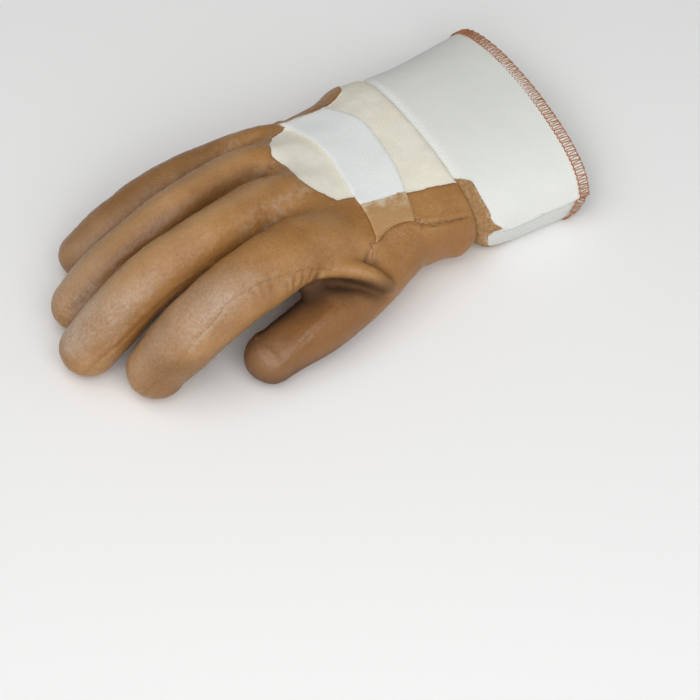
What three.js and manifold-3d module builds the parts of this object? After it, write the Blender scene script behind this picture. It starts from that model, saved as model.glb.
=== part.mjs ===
// A rubber-coated work glove for the right hand. It lies palm down and keeps the curve of a hand.
// Units are millimetres. +X runs from the fingertips to the cuff, +Y from the thumb to the little finger
// and +Z is up.
// The coated hand is one hollow form, a lofted palm and five lofted digits, parted where its cloth is sewn
// under the coating: a back, a palm and a set-in thumb. The bare knit back, the elastic across it and the
// two panels of the cuff are pieces of their own.

import * as THREE from "three";
import { mergeVertices } from "three/addons/utils/BufferGeometryUtils.js";
import Module from "manifold-3d";

const wasm = await Module();
wasm.setup();

// Driving dimensions

const handWall = 2; // coating and jersey together
const bareDrop = 0.6; // how far the bare knit lies below the coating
const elasticProud = 0.9; // how far the elastic stands above the coating's surface
const cuffWall = 1.3;
const cuffLap = 8; // how far the cuff reaches into the hand
const gap = 0.3; // between neighbouring pieces
const digitSides = 16;
const handSides = 40;
const domeRings = 3; // rings between a digit's last row and its tip
const upperPower = 2.3; // roundness of a section above its widest line, 2 for an ellipse
const lowerPower = 3; // and below it

// Each digit starts as a low ridge on the hand and ends where its round tip begins.
// x, y, z is the middle of a section, wide is half its width and deep is half its height.
const digits = {
  index: [
    { x: -62, y: -29, z: 36, wide: 11, deep: 13 },
    { x: -86, y: -34, z: 46, wide: 14.5, deep: 15.5 },
    { x: -106, y: -39.5, z: 48.5, wide: 15.5, deep: 16.5 },
    { x: -123, y: -43.5, z: 46.5, wide: 15.7, deep: 16.5 },
    { x: -140, y: -44, z: 38.5, wide: 15.7, deep: 16 },
    { x: -154, y: -43.5, z: 27, wide: 15, deep: 15.3 },
    { x: -163, y: -40, z: 14.5, wide: 13.8, deep: 13.8 },
  ],
  middle: [
    { x: -58, y: -9, z: 38, wide: 11, deep: 13 },
    { x: -88, y: -12, z: 46.5, wide: 13.5, deep: 15 },
    { x: -115, y: -13.5, z: 49, wide: 13.6, deep: 15.5 },
    { x: -130, y: -14, z: 47.5, wide: 13.6, deep: 15 },
    { x: -146, y: -14.5, z: 43.5, wide: 13.6, deep: 15 },
    { x: -160, y: -14.5, z: 35.5, wide: 13.6, deep: 14.5 },
    { x: -174, y: -14.5, z: 24, wide: 13.8, deep: 14 },
    { x: -182, y: -13, z: 14.5, wide: 13.5, deep: 13.8 },
  ],
  ring: [
    { x: -56, y: 13, z: 36, wide: 10, deep: 12 },
    { x: -84, y: 14, z: 41.5, wide: 12.5, deep: 14 },
    { x: -116, y: 13.5, z: 42.5, wide: 13, deep: 14.5 },
    { x: -131, y: 13, z: 39.5, wide: 13, deep: 14 },
    { x: -146, y: 12.5, z: 32.5, wide: 13, deep: 14 },
    { x: -161, y: 12.5, z: 25, wide: 13, deep: 13.5 },
    { x: -174, y: 11.5, z: 14, wide: 12.5, deep: 13 },
  ],
  little: [
    { x: -50, y: 32, z: 30, wide: 10, deep: 11 },
    { x: -76, y: 36, z: 30.5, wide: 12, deep: 13 },
    { x: -107, y: 38.5, z: 28.5, wide: 12.5, deep: 13 },
    { x: -123, y: 38.5, z: 26, wide: 12.5, deep: 13 },
    { x: -134, y: 38.5, z: 22, wide: 12.5, deep: 12.5 },
    { x: -145, y: 38, z: 18.5, wide: 12.5, deep: 12.5 },
    { x: -157, y: 37, z: 12.8, wide: 12, deep: 12 },
  ],
  thumb: [
    { x: -22, y: -33, z: 22, wide: 16, deep: 15 },
    { x: -40, y: -41, z: 23, wide: 16, deep: 15.5 },
    { x: -59, y: -50, z: 21.5, wide: 14.5, deep: 14.5 },
    { x: -76, y: -56, z: 19, wide: 13.5, deep: 13.5 },
    { x: -92, y: -59.5, z: 16, wide: 13, deep: 13 },
    { x: -113, y: -60.5, z: 12.4, wide: 12, deep: 12.3 },
  ],
};

// The palm, from the cuff's seam to the webs. near and far are its edges in Y, side is the height of its
// widest line, top and under are its highest and lowest points, and lean is how much it drops at far.
const palmRows = [
  { x: 0, near: -51, far: 56, top: 43, side: 20, under: 1, lean: 0 },
  { x: -14, near: -52, far: 56.5, top: 43.5, side: 20, under: 1.5, lean: 0 },
  { x: -26, near: -53, far: 52, top: 44, side: 21, under: 4, lean: 0 },
  { x: -46, near: -52, far: 46.5, top: 47.5, side: 24, under: 8, lean: 0 },
  { x: -60, near: -50, far: 46, top: 50.5, side: 27, under: 12, lean: 1 },
  { x: -74, near: -47, far: 45.5, top: 53.5, side: 30, under: 16, lean: 3 },
  { x: -90, near: -47, far: 45.5, top: 54.5, side: 33, under: 21, lean: 6 },
  { x: -102, near: -43, far: 43, top: 52, side: 36, under: 26, lean: 8 },
  { x: -110, near: -34, far: 36, top: 46, side: 37, under: 31, lean: 7 },
];

// The cuff, first inside the hand. corner is how square its underside is, and slant is how much shorter the
// underside is than the back at that row.
const cuffRows = [
  { x: -cuffLap, near: -48.8, far: 53.5, top: 40.6, side: 20, under: 4, corner: 3, slant: 0 },
  { x: 1, near: -48.2, far: 53.2, top: 40.3, side: 20, under: 3.8, corner: 3, slant: 0 },
  { x: 5, near: -49.8, far: 54.5, top: 40.5, side: 17, under: -0.5, corner: 4.5, slant: 0 },
  { x: 20, near: -50.5, far: 55.5, top: 40, side: 15, under: -2, corner: 5, slant: 0 },
  { x: 42, near: -51.5, far: 58, top: 38.5, side: 14, under: -2, corner: 5, slant: 5 },
  { x: 61, near: -53, far: 60, top: 37, side: 14, under: -2, corner: 5, slant: 10 },
];

// The side seam between back and palm, for each digit's strip of the hand: the strip's edges in Y, how far
// the seam runs above the middle of the digit, and its x and z over the palm.
const strips = {
  index: { from: -120, to: -27.3, raise: 6, palm: [[-70, 45], [-50, 43], [-30, 39], [-16, 32], [0, 29], [20, 29]] },
  middle: { from: -27.3, to: 0.2, raise: 0, palm: [[-50, 38], [0, 29], [20, 29]] },
  ring: { from: 0.2, to: 26, raise: 0, palm: [[-50, 30], [0, 21], [20, 21]] },
  little: { from: 26, to: 120, raise: 0, palm: [[-60, 27], [-30, 22], [0, 21], [20, 21]] },
  thumb: { from: -120, to: 0, raise: 7, palm: [[-44, 31], [20, 31]] },
};

// The edge of the coating round the bare back, seen from above
const bareOutline = [
  [20, -35], [-1, -33.5], [-14, -30.5], [-24, -29.5], [-36, -28.5], [-49, -27], [-50, -23.5], [-58, -22.5],
  [-61, -16], [-65, -7], [-68, 5], [-70, 12], [-68, 20.5], [-64, 25.5], [-56, 29], [-51.5, 34], [-42, 36],
  [-34, 38], [-26, 38.5], [-20, 42], [-14, 48], [-11, 54], [-9, 62], [20, 62],
];

const elasticOutline = [
  [-49.3, -28], [-50, -22], [-48.3, -10], [-47, 2], [-47.3, 12], [-49, 23], [-52.5, 35],
  [-28, 39], [-22, 23], [-20.5, 11], [-20.5, -3], [-22.5, -17], [-25.5, -31],
];

// A closed solid through rings of points, capped flat at both ends
function solidThrough(rings) {
  const sides = rings[0].length;
  const points = rings.flat();
  const triangles = [];
  for (let r = 0; r + 1 < rings.length; r++) {
    for (let s = 0; s < sides; s++) {
      const a = r * sides + s;
      const b = r * sides + ((s + 1) % sides);
      triangles.push(a, b, a + sides, b, b + sides, a + sides);
    }
  }
  const last = (rings.length - 1) * sides;
  const middleOf = (ring) => ring.reduce((sum, p) => sum.add(p), new THREE.Vector3()).divideScalar(sides);
  const firstMiddle = points.length;
  points.push(middleOf(rings[0]), middleOf(rings[rings.length - 1]));
  for (let s = 0; s < sides; s++) {
    const next = (s + 1) % sides;
    triangles.push(firstMiddle, next, s, firstMiddle + 1, last + s, last + next);
  }
  const make = (order) =>
    new wasm.Manifold(
      new wasm.Mesh({
        numProp: 3,
        vertProperties: new Float32Array(points.flatMap((p) => [p.x, p.y, p.z])),
        triVerts: new Uint32Array(order),
      }),
    );
  const solid = make(triangles);
  return solid.volume() > 0 ? solid : make(triangles.reverse());
}

const rounded = (value, power) => Math.sign(value) * Math.abs(value) ** (2 / power);

// A rounded section across X, grown or shrunk all round. Nothing goes below the floor at z = 0.
function crossRing(row, grow) {
  const middle = (row.near + row.far) / 2;
  const half = (row.far - row.near) / 2 + grow;
  return Array.from({ length: handSides }, (_, i) => {
    const turn = ((i + 0.5) / handSides) * 2 * Math.PI;
    const upper = Math.sin(turn) > 0;
    const power = upper ? upperPower : (row.corner ?? lowerPower);
    const height = upper ? row.top - row.side + grow : row.side - row.under + grow;
    const y = middle + half * rounded(Math.cos(turn), power);
    const z = Math.max(row.side + height * rounded(Math.sin(turn), power), -grow);
    const back = z < row.side ? ((row.slant ?? 0) * (row.side - z)) / row.side : 0;
    const drop = ((row.lean ?? 0) * (y - middle)) / half;
    return new THREE.Vector3(row.x - back, y, z - drop);
  });
}

// A loft through rows of sections. first and last move its two ends along X.
function crossLoft(rows, grow, first, last) {
  const ends = rows.map((row, i) => ({ ...row, x: row.x + (i === 0 ? first : 0) + (i === rows.length - 1 ? last : 0) }));
  return solidThrough(ends.map((row) => crossRing(row, grow)));
}

// A digit: a loft through its rows that ends in a round tip
function digitLoft(rows, grow) {
  const middles = new THREE.CatmullRomCurve3(rows.map((r) => new THREE.Vector3(r.x, r.y, r.z)));
  const start = middles.points[0];
  const plan = middles.points[rows.length - 1].clone().sub(start).setZ(0).normalize();
  const side = new THREE.Vector3(-plan.y, plan.x, 0);
  const ringAt = (centre, along, wide, deep) => {
    const over = new THREE.Vector3().crossVectors(along, side).normalize();
    return Array.from({ length: digitSides }, (_, i) => {
      const turn = ((i + 0.5) / digitSides) * 2 * Math.PI;
      return centre
        .clone()
        .addScaledVector(side, wide * Math.cos(turn))
        .addScaledVector(over, deep * Math.sin(turn));
    });
  };
  const rings = rows.map((row, i) => {
    const t = i / (rows.length - 1);
    return ringAt(middles.getPoint(t), middles.getTangent(t), row.wide + grow, row.deep + grow);
  });
  const end = rows[rows.length - 1];
  const along = middles.getTangent(1);
  for (let i = 1; i <= domeRings; i++) {
    const turn = (i / (domeRings + 0.3)) * (Math.PI / 2);
    const centre = middles.getPoint(1).addScaledVector(along, (end.deep + grow) * Math.sin(turn));
    rings.push(ringAt(centre, along, (end.wide + grow) * Math.cos(turn), (end.deep + grow) * Math.cos(turn)));
  }
  return solidThrough(rings);
}

// An upright prism on an outline seen from above, which grow moves outwards all round
function prismOn(outline, low, high, grow) {
  const points = outline.map(([x, y]) => new THREE.Vector2(x, y));
  const outwards = THREE.ShapeUtils.isClockWise(points) ? -grow : grow;
  const moved = points.map((p, i) => {
    const before = points[(i + points.length - 1) % points.length];
    const after = points[(i + 1) % points.length];
    const into = p.clone().sub(before).normalize();
    const out = after.clone().sub(p).normalize();
    const away = new THREE.Vector2(into.y + out.y, -into.x - out.x).normalize();
    const turn = Math.max(away.dot(new THREE.Vector2(into.y, -into.x)), 0.5);
    return p.clone().addScaledVector(away, outwards / turn);
  });
  return solidThrough([low, high].map((z) => moved.map((p) => new THREE.Vector3(p.x, p.y, z))));
}

// Everything on the back's side of the seam in one digit's strip, moved off the seam by shift
function aboveSeam(strip, rows, shift) {
  const line = strip.palm.toReversed().map(([x, z]) => new THREE.Vector2(x, z));
  rows
    .filter((r) => r.x < line[line.length - 1].x - 8)
    .forEach((r) => line.push(new THREE.Vector2(r.x, r.z + strip.raise)));
  const last = line[line.length - 1];
  const beyond = last.clone().sub(line[line.length - 2]).setLength(60);
  line.push(last.clone().add(beyond));
  const moved = line.map((p, i) => {
    const before = line[Math.max(i - 1, 0)];
    const after = line[Math.min(i + 1, line.length - 1)];
    const away = after.clone().sub(before).normalize();
    return p.clone().add(new THREE.Vector2(away.y, -away.x).multiplyScalar(shift));
  });
  const shape = new THREE.Shape([...moved, new THREE.Vector2(-300, moved[moved.length - 1].y),
    new THREE.Vector2(-300, 150), new THREE.Vector2(20, 150)]);
  const overlap = 0.05; // so that neighbouring strips join
  const depth = strip.to - strip.from + 2 * overlap;
  const block = new THREE.ExtrudeGeometry(shape, { depth, bevelEnabled: false });
  block.rotateX(Math.PI / 2);
  block.translate(0, strip.to + overlap, 0);
  return solidOf(block);
}

function solidOf(geometry) {
  const bare = geometry.clone();
  bare.deleteAttribute("normal");
  bare.deleteAttribute("uv");
  const merged = mergeVertices(bare, 1e-4);
  const solid = new wasm.Manifold(
    new wasm.Mesh({
      numProp: 3,
      vertProperties: new Float32Array(merged.getAttribute("position").array),
      triVerts: new Uint32Array(merged.getIndex().array),
    }),
  );
  return solid;
}

// The largest piece of a solid, without the slivers that a cut leaves
function largest(solid) {
  return solid.decompose().reduce((best, piece) => (piece.volume() > best.volume() ? piece : best));
}

function meshOf(name, solid, colour, roughness) {
  const made = largest(solid).getMesh();
  const geometry = new THREE.BufferGeometry();
  geometry.setAttribute("position", new THREE.BufferAttribute(new Float32Array(made.vertProperties), 3));
  geometry.setIndex(new THREE.BufferAttribute(new Uint32Array(made.triVerts), 1));
  geometry.computeVertexNormals();
  const mesh = new THREE.Mesh(geometry, new THREE.MeshStandardMaterial({ color: colour, roughness, metalness: 0 }));
  mesh.name = name;
  return mesh;
}

// The form of the hand without its thumb, and the thumb
const fingers = ["index", "middle", "ring", "little"];
const handForm = (grow, first = 0) =>
  fingers
    .map((name) => digitLoft(digits[name], grow))
    .reduce((sum, digit) => sum.add(digit), crossLoft(palmRows, grow, first, -grow));
const thumbForm = (grow) => digitLoft(digits.thumb, grow);
const cavity = handForm(-handWall, 1).add(thumbForm(-handWall));
const aboveSeams = (shift) =>
  fingers
    .map((name) => aboveSeam(strips[name], digits[name], shift))
    .reduce((sum, block) => sum.add(block));

const coat = handForm(0).subtract(cavity);
const backPanel = coat.intersect(aboveSeams(gap / 2)).subtract(prismOn(bareOutline, 24, 150, gap / 2));
const palmPanel = coat.subtract(aboveSeams(-gap / 2));
const thumb = thumbForm(0).subtract(handForm(gap)).subtract(cavity);
const thumbBack = thumb.intersect(aboveSeam(strips.thumb, digits.thumb, gap / 2));
const thumbPalm = thumb.subtract(aboveSeam(strips.thumb, digits.thumb, -gap / 2));
const bareBack = handForm(-bareDrop)
  .subtract(cavity)
  .intersect(prismOn(bareOutline, 24 + gap, 150, -gap / 2))
  .intersect(aboveSeams(gap / 2));
const elastic = handForm(elasticProud)
  .subtract(handForm(gap - bareDrop))
  .intersect(prismOn(elasticOutline, 24, 150, 0))
  .intersect(prismOn(bareOutline, 24, 150, -gap));

const cuffForm = (grow, over) => crossLoft(cuffRows, grow, -over, over);
const cuffTube = cuffForm(0, 0).subtract(cuffForm(-cuffWall, 1));
const crease = cuffRows[cuffRows.length - 1].side;
const cuffBack = cuffTube.trimByPlane([0, 0, 1], crease + gap / 2);
const cuffPalm = cuffTube.trimByPlane([0, 0, -1], -(crease - gap / 2));

const brown = 0x8c6239;
const glove = new THREE.Group();
glove.add(
  meshOf("back_panel", backPanel, brown, 0.55),
  meshOf("palm_panel", palmPanel, brown, 0.55),
  meshOf("thumb_back", thumbBack, brown, 0.55),
  meshOf("thumb_palm", thumbPalm, brown, 0.55),
  meshOf("bare_back", bareBack, 0xe6dfc8, 0.95),
  meshOf("elastic_band", elastic, 0xe4e8e6, 0.85),
  meshOf("cuff_back", cuffBack, 0xe4e6e0, 0.9),
  meshOf("cuff_palm", cuffPalm, 0xd9dbd4, 0.9),
);

// The frame starts under the middle of the glove, on the floor that it lies on
const box = new THREE.Box3().setFromObject(glove);
const middle = box.getCenter(new THREE.Vector3());
glove.children.forEach((mesh) => mesh.position.set(-middle.x, -middle.y, -box.min.z));

export default glove;
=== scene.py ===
import math

import bmesh
import bpy
import numpy as np
from mathutils import Matrix, Vector, noise
from mathutils.bvhtree import BVHTree


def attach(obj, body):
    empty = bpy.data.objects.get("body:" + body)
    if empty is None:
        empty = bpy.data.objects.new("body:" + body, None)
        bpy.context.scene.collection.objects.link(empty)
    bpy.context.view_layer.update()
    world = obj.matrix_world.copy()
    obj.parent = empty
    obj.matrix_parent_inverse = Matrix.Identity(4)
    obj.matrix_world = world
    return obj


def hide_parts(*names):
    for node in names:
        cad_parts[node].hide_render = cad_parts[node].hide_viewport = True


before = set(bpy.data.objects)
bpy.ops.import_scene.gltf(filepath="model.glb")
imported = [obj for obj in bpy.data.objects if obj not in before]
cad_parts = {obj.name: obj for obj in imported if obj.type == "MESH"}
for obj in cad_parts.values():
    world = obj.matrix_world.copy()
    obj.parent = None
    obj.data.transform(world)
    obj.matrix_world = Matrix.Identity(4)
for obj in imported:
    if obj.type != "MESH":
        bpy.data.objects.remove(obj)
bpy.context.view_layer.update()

# All numbers are millimetres in the glove's own measure: x = 0 at the seam between hand and cuff, -X to the
# fingertips, +Y to the little finger, z = 0 on the table. in_frame turns them into the model's metres.
FRAME_SHIFT = np.array([67.171, 5.978, 0.0])


def in_frame(points):
    return (np.asarray(points, float) + FRAME_SHIFT) * 0.001


def in_mm(points):
    return np.asarray(points, float) * 1000 - FRAME_SHIFT


# Camera and studio

def set_camera():
    turn, drop = math.radians(31.5), math.radians(50.5)
    distance, mm_per_pixel, frame_pixels, sensor = 1800.0, 0.47, 700, 36
    aside, above = 31.725, 74.777  # where the glove's zero lies from the middle of the frame
    right = Vector((math.cos(turn), -math.sin(turn), 0))
    ahead = Vector((math.sin(turn) * math.cos(drop), math.cos(turn) * math.cos(drop), -math.sin(drop)))
    up = right.cross(ahead)
    bpy.ops.object.camera_add(location=in_frame(-(right * aside + up * above + ahead * distance)))
    camera = bpy.context.object
    camera.rotation_euler = Matrix((right, up, -ahead)).transposed().to_euler()
    camera.data.sensor_fit = "HORIZONTAL"
    camera.data.sensor_width = sensor
    camera.data.lens = sensor * distance / (mm_per_pixel * frame_pixels)
    camera.data.clip_end = 50
    bpy.context.scene.camera = camera


def soft_box(name, place, aim, size, power):
    bpy.ops.object.light_add(type="AREA", location=place)
    light = bpy.context.object
    light.name = name
    light.data.shape = "SQUARE"
    light.data.size = size
    light.data.energy = power
    light.rotation_euler = (Vector(aim) - Vector(place)).to_track_quat("-Z", "Y").to_euler()


def set_studio():
    middle = (0, 0, 0.03)
    soft_box("key", (-0.36, -0.9, 0.94), middle, 1.2, 11.6)
    soft_box("overhead", (-0.5, 0.05, 1.2), middle, 1.1, 5.2)
    soft_box("front_fill", (0.9, -0.8, 0.5), middle, 0.7, 1.5)
    world = bpy.data.worlds.new("studio")
    bpy.context.scene.world = world
    world.use_nodes = True
    sky = world.node_tree.nodes["Background"].inputs
    sky["Color"].default_value = (1, 1, 1, 1)
    sky["Strength"].default_value = 0.22
    bpy.context.scene.view_settings.view_transform = "Standard"
    bpy.ops.mesh.primitive_plane_add(size=8, location=(0, 0, 0))
    table = bpy.context.object
    table.name = "table"
    paint = bpy.data.materials.new("table_white")
    paint.use_nodes = True
    shader = paint.node_tree.nodes["Principled BSDF"]
    shader.inputs["Base Color"].default_value = (0.95, 0.95, 0.945, 1)
    shader.inputs["Roughness"].default_value = 0.8
    table.data.materials.append(paint)


# Small tools of the bench

def only(*objects):
    """Selects just these objects."""
    bpy.ops.object.select_all(action="DESELECT")
    for o in objects:
        o.select_set(True)
    bpy.context.view_layer.objects.active = objects[-1]


def finish_modifier(piece, kind, **settings):
    only(piece)
    modifier = piece.modifiers.new("work", kind)
    for name, value in settings.items():
        setattr(modifier, name, value)
    bpy.ops.object.modifier_apply(modifier=modifier.name)


def per_point(piece, name):
    flat = np.empty(len(piece.data.vertices) * 3, np.float32)
    piece.data.vertices.foreach_get(name, flat)
    return flat.reshape(-1, 3)


def points_of(piece):
    return in_mm(per_point(piece, "co"))


def put_points(piece, points):
    piece.data.vertices.foreach_set("co", in_frame(points).astype(np.float32).ravel())
    piece.data.update()


def normals_of(piece):
    return per_point(piece, "normal").astype(float)


def note(piece, name, values):
    """Writes one number per point, which a finish reads by its name."""
    layer = piece.data.attributes.new(name, "FLOAT", "POINT")
    layer.data.foreach_set("value", np.asarray(values, np.float32))


def noted(piece, name):
    return np.array([d.value for d in piece.data.attributes[name].data])


def ease(low, high, values):
    t = np.clip((np.asarray(values, float) - low) / (high - low), 0, 1)
    return t * t * (3 - 2 * t)


def bell(values, width, power=2):
    """1 where a value is 0, and less and less on both sides of it."""
    return np.exp(-((values / width) ** power))


def grain(points, size, seed):
    """Smooth noise from about -1 to 1 with lumps of the given size."""
    return np.array([noise.noise(Vector(p)) for p in points / size + seed])


def grains(points, *layers):
    """Noises laid over each other, each with its height, size and seed."""
    return sum(height * grain(points, size, seed) for height, size, seed in layers)


def closed(ring):
    return np.vstack([ring, ring[:1]])


def run_along(line):
    """The length of a line up to each of its points."""
    return np.concatenate([[0], np.cumsum(np.linalg.norm(np.diff(line, axis=0), axis=1))])


def through(rows, steps):
    """A smooth curve through a table's rows, with all of its columns."""
    rows = np.array(rows, float)
    wider = np.vstack([2 * rows[0] - rows[1], rows, 2 * rows[-1] - rows[-2]])
    found = []
    for a, b, c, d in zip(wider, wider[1:], wider[2:], wider[3:]):
        for t in np.arange(steps) / steps:
            bend, twist = 2 * a - 5 * b + 4 * c - d, 3 * b - a - 3 * c + d
            found.append(0.5 * (2 * b + (c - a) * t + bend * t**2 + twist * t**3))
    return np.array(found + [rows[-1]])


# The hand's form

SHORT_STEP = 1.5
# x, y, z of the middle, half the width, half the height
DIGITS = {
    "index": [
        (-62, -31, 36, 12, 13), (-74, -34, 41, 14.4, 15), (-86, -35.6, 44.8, 15.4, 16.6),
        (-106, -40.8, 47.8, 15.7, 17.2), (-123, -44, 46.5, 15.2, 16.5), (-140, -44.4, 38.5, 15.3, 16),
        (-154, -43.7, 27, 14.8, 15.3), (-163, -40.2, 14.5, 13.6, 13.8),
    ],
    "middle": [
        (-58, -7, 38, 12, 13), (-88, -9, 46.5, 14.8, 15), (-115, -13, 49, 13.3, 15.5),
        (-130, -14, 47.5, 13, 15), (-146, -14.5, 43.5, 13.1, 15), (-160, -14.5, 35.5, 13.2, 14.5),
        (-174, -14.4, 24, 13.5, 14), (-182, -13, 14.5, 13.2, 13.8),
    ],
    "ring": [
        (-56, 16, 36, 10, 12), (-84, 17.5, 41.5, 12.5, 14), (-116, 13.6, 42.5, 12.4, 14.5),
        (-131, 12.7, 39.5, 12.4, 14), (-146, 12.3, 32.5, 12.5, 14), (-161, 12.3, 25, 12.6, 13.5),
        (-174, 11.5, 14, 12.2, 13),
    ],
    "little": [
        (-50, 34, 30, 10, 11), (-76, 37.6, 30.5, 11.6, 13), (-107, 39.1, 28.5, 12, 13),
        (-123, 39.1, 26, 12.1, 13), (-134, 39, 22, 12.1, 12.5), (-145, 38.5, 18.5, 12.1, 12.5),
        (-157, 37.2, 12.8, 11.8, 12),
    ],
    "thumb": [
        (-22, -33, 22, 16, 15), (-40, -41, 22, 16, 14.3), (-59, -49.4, 19.5, 15.1, 12.5),
        (-76, -54.4, 18.2, 15.1, 12.5), (-92, -58.2, 16.8, 14.3, 13), (-115, -60.2, 13.4, 12.3, 12.5),
    ],
    # the web under the index finger, and the fold that runs from it over the thumb's root
    "web": [(-60, -41, 26, 9, 8), (-74, -44, 27, 8, 6), (-86, -44, 28, 6, 5)],
    "fold": [
        (-53, -60.8, 21.5, 3, 3), (-55.5, -61.3, 26.5, 3.8, 3.8), (-59.5, -59, 31.8, 4.3, 4.3),
        (-66, -53.7, 35.9, 4.6, 4.5), (-74, -48.8, 38, 4.8, 4.5), (-82, -46.8, 39.4, 4.7, 4.4), (-91, -45, 41, 4, 4),
    ],
}

# x, near edge, far edge, top, height of the widest line, lowest point, how much it drops at the far edge
PALM = [
    (6, -51, 56, 43, 20, 1, 0), (0, -51, 56, 43, 20, 1, 0), (-14, -52, 56.5, 43.5, 20, 1.5, 0),
    (-26, -53, 52, 44, 21, 4, 0), (-46, -52, 46.5, 47.5, 24, 8, 0), (-60, -50, 46, 50.5, 27, 12, 1),
    (-74, -47, 45.5, 52.5, 30, 16, 3), (-90, -47, 45.5, 50, 33, 21, 6), (-102, -43, 43, 45, 35, 25, 7),
    (-110, -34, 36, 40, 34, 29, 6),
]
# squareness of the sections' corners, where 2 makes an ellipse
UPPER_CORNER, PALM_CORNER = 2.3, 3
REMESH_SIZE, HAND_WALL, BAND_WALL = 1.12, 1.8, 1.2


def arc_shares(power_up, power_down, counts):
    """The turns that split the upper and the lower half of a rounded section into equal lengths."""
    found = []
    for start, power, count in ((0, power_up, counts[0]), (math.pi, power_down, counts[1])):
        turn = np.linspace(start, start + math.pi, 4000)
        y, z = rounded(np.cos(turn), power) * 1.3, rounded(np.sin(turn), power) * 0.5
        run = np.concatenate([[0], np.cumsum(np.hypot(np.diff(y), np.diff(z)))])
        found.append(np.interp(np.arange(count) / count * run[-1], run, turn))
    return np.concatenate(found)


def rounded(value, power):
    return np.sign(value) * np.abs(value) ** (2 / power)


def section(turns, corner, over, under):
    """A rounded section: how far out each point is, from -1 to 1, and how high over the widest line."""
    across, rise = np.cos(turns), np.sin(turns)
    out = np.where(rise > 0, rounded(across, UPPER_CORNER), rounded(across, corner))
    return out, np.where(rise > 0, over * rounded(rise, UPPER_CORNER), under * rounded(rise, corner))


def palm_ring(row, turns):
    x, near, far, top, side, under, lean = row
    middle, half = (near + far) / 2, (far - near) / 2
    out, lift = section(turns, PALM_CORNER, top - side, side - under)
    y = half * out
    return np.stack([np.full_like(y, x), middle + y, np.maximum(side + lift, 0) - lean * y / half], 1)


def edit_all():
    bpy.ops.object.mode_set(mode="EDIT")
    bpy.ops.mesh.select_all(action="SELECT")


def end_shape():
    bpy.ops.mesh.select_all(action="SELECT")
    bpy.ops.mesh.normals_make_consistent(inside=False)
    bpy.ops.object.mode_set(mode="OBJECT")


def order_round(points):
    """The points' order round their middle, seen from the fingertips."""
    y, z = (points - points.mean(0)).T[1:]
    return np.argsort(np.arctan2(z, y))


def shape_ring(ring, notes=None):
    """Moves the selected ring onto a section, point by point round it."""
    piece = bpy.context.object
    mesh = bmesh.from_edit_mesh(piece.data)
    chosen = [v for v in mesh.verts if v.select]
    now, target = np.array([piece.matrix_world @ v.co for v in chosen]), in_frame(ring)
    back = piece.matrix_world.inverted()
    for i, j in zip(order_round(now), order_round(target)):
        chosen[i].co = back @ Vector(target[j])
        for name, values in (notes or {}).items():
            chosen[i][mesh.verts.layers.float[name]] = values[j]
    bmesh.update_edit_mesh(piece.data)


def loft(name, rings, filled, notes=None):
    """Extrudes a ring, which starts flat and facing the fingertips, through its sections."""
    bpy.ops.mesh.primitive_circle_add(
        vertices=len(rings[0]), radius=np.ptp(rings[0][:, 1]) / 2000, location=in_frame(rings[0].mean(0)),
        rotation=(0, math.radians(-90), 0), fill_type="NGON" if filled else "NOTHING")
    edit_all()
    for layer in (notes or [{}])[0]:
        mesh = bmesh.from_edit_mesh(bpy.context.object.data)
        mesh.verts.layers.float.new(layer)
    for i, ring in enumerate(rings):
        if i:
            step = (in_frame(ring) - in_frame(rings[i - 1])).mean(0)
            bpy.ops.mesh.extrude_region_move(TRANSFORM_OT_translate={"value": step})
        shape_ring(ring, notes[i] if notes else None)
    end_shape()
    piece = bpy.context.object
    piece.name = name
    only(piece)
    bpy.ops.object.transform_apply()
    return piece


def add_digit(name, rows):
    """Builds a digit along its own straight line, then turns it round its root to its angle."""
    path = through(rows, 3)
    root = path[0, :3].copy()
    run = path[-1, :3] - root
    yaw = math.atan2(-run[1], -run[0])
    path[:, :3] = (path[:, :3] - root) @ np.array(Matrix.Rotation(-yaw, 3, "Z")).T + root
    pitch = np.arctan2(-np.gradient(path[:, 2]), -np.gradient(path[:, 0]))
    centre, (wide, deep), tilt = in_frame(path[0, :3]), path[0, 3:], pitch[0]
    bpy.ops.mesh.primitive_circle_add(vertices=32, radius=wide / 1000, location=centre,
                                      rotation=(0, math.radians(-90), 0), fill_type="NGON")
    piece = bpy.context.object
    piece.name = name
    bpy.ops.object.transform_apply()
    edit_all()
    bpy.ops.transform.resize(value=(1, 1, deep / wide), center_override=centre)
    bpy.ops.transform.rotate(value=tilt, orient_axis="Y", center_override=centre)
    for row, angle, before in zip(path[1:], pitch[1:], path):
        moved = in_frame(row[:3])
        bpy.ops.mesh.extrude_region_move(TRANSFORM_OT_translate={"value": moved - centre})
        bpy.ops.transform.rotate(value=-tilt, orient_axis="Y", center_override=moved)
        bpy.ops.transform.resize(value=(1, row[3] / before[3], row[4] / before[4]), center_override=moved)
        bpy.ops.transform.rotate(value=angle, orient_axis="Y", center_override=moved)
        centre, tilt = moved, angle
    ahead = np.array([-math.cos(tilt), 0, -math.sin(tilt)])
    tip, rings, size = centre, 6, 1.0
    for i in range(1, rings + 1):
        turn = i / (rings + 0.4) * math.pi / 2
        moved = tip + ahead * path[-1, 4] / 1000 * math.sin(turn)
        bpy.ops.mesh.extrude_region_move(TRANSFORM_OT_translate={"value": moved - centre})
        smaller = math.cos(turn) ** 0.85
        bpy.ops.transform.resize(value=(smaller / size,) * 3, center_override=moved)
        centre, size = moved, smaller
    bpy.ops.mesh.select_all(action="SELECT")
    bpy.ops.transform.rotate(value=-yaw, orient_axis="Z", center_override=in_frame(root))
    end_shape()
    return piece


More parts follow.
